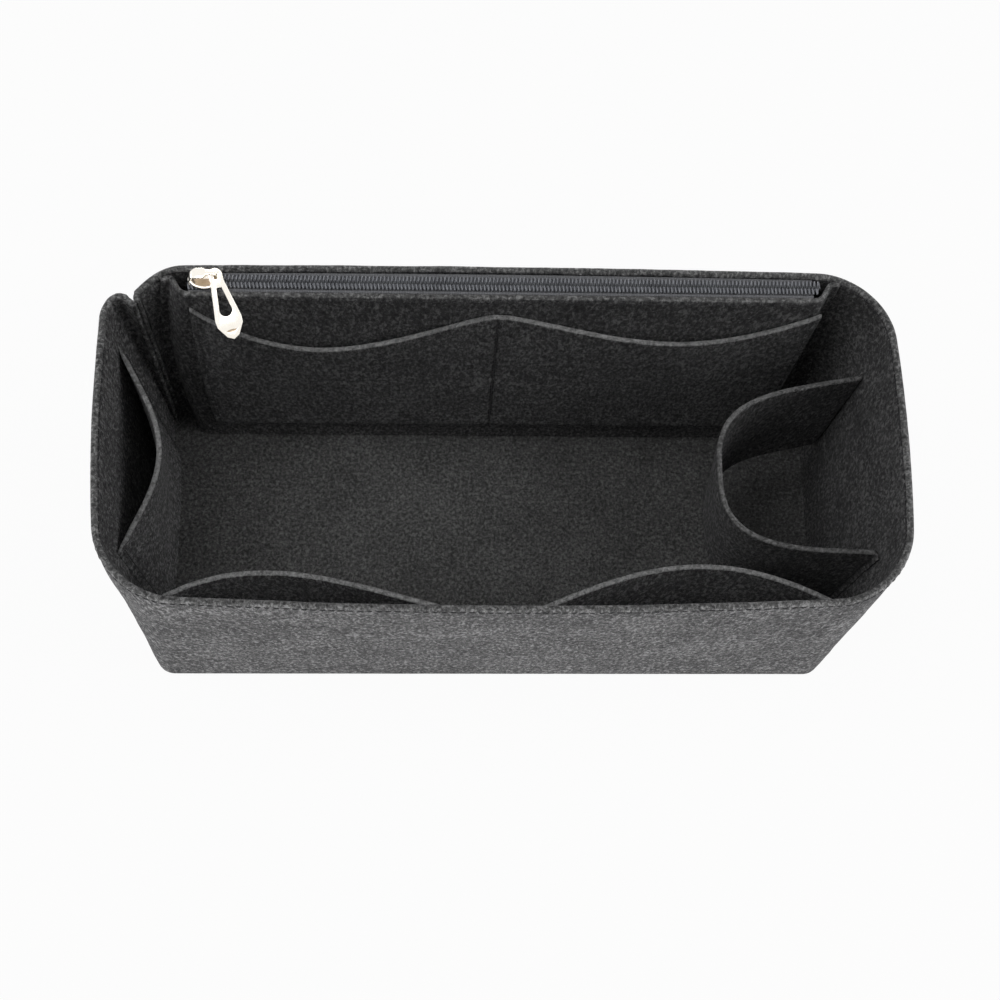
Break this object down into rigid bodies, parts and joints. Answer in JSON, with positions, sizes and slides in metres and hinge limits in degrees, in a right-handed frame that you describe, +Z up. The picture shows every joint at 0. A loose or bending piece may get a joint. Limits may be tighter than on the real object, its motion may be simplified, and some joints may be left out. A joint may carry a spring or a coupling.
{
  "type": "purse organizer insert",
  "caption": "Open-topped felt handbag organizer with a zipped back compartment, scooped and bulging inner pockets and a bottle strap on one end wall.",
  "frame": {"origin": "middle of the underside of the base", "axes": "+X along the length towards the bottle strap, +Y towards the zipped back wall, +Z up through the open top"},
  "size_m": [0.3004, 0.134, 0.1566],
  "materials": {
    "felt": "charcoal melange needle felt, pale at its cut edges",
    "zip_tape": "slate grey woven tape",
    "zip_coil": "slate grey nylon coil",
    "zip_metal": "polished pale gold plating"
  },
  "bodies": {
    "organizer": {"wall_band": "felt", "base_panel": "felt", "zip_divider": "felt", "back_pocket_panel": "felt", "left_pocket_panel": "felt", "front_pocket_panel": "felt", "bottle_strap": "felt", "zip_tape_front": "zip_tape", "zip_tape_back": "zip_tape", "zip_coil_front": "zip_coil", "zip_coil_back": "zip_coil"},
    "slider": {"zip_slider": "zip_metal"},
    "pull": {"zip_pull": "zip_metal"}
  },
  "joints": [
    {"name": "zip_slide", "type": "slide", "parent": "organizer", "child": "slider", "axis": [1, 0, 0], "range_m": [0, 0.22], "deforming": ["zip_tape_front", "zip_tape_back", "zip_coil_front", "zip_coil_back"]},
    {"name": "pull_swing", "type": "hinge", "parent": "slider", "child": "pull", "pos_m": [-0.1076, 0.05953, 0.15405], "axis": [0, -0.3987, 0.9171], "range_deg": [-47, 56]}
  ]
}
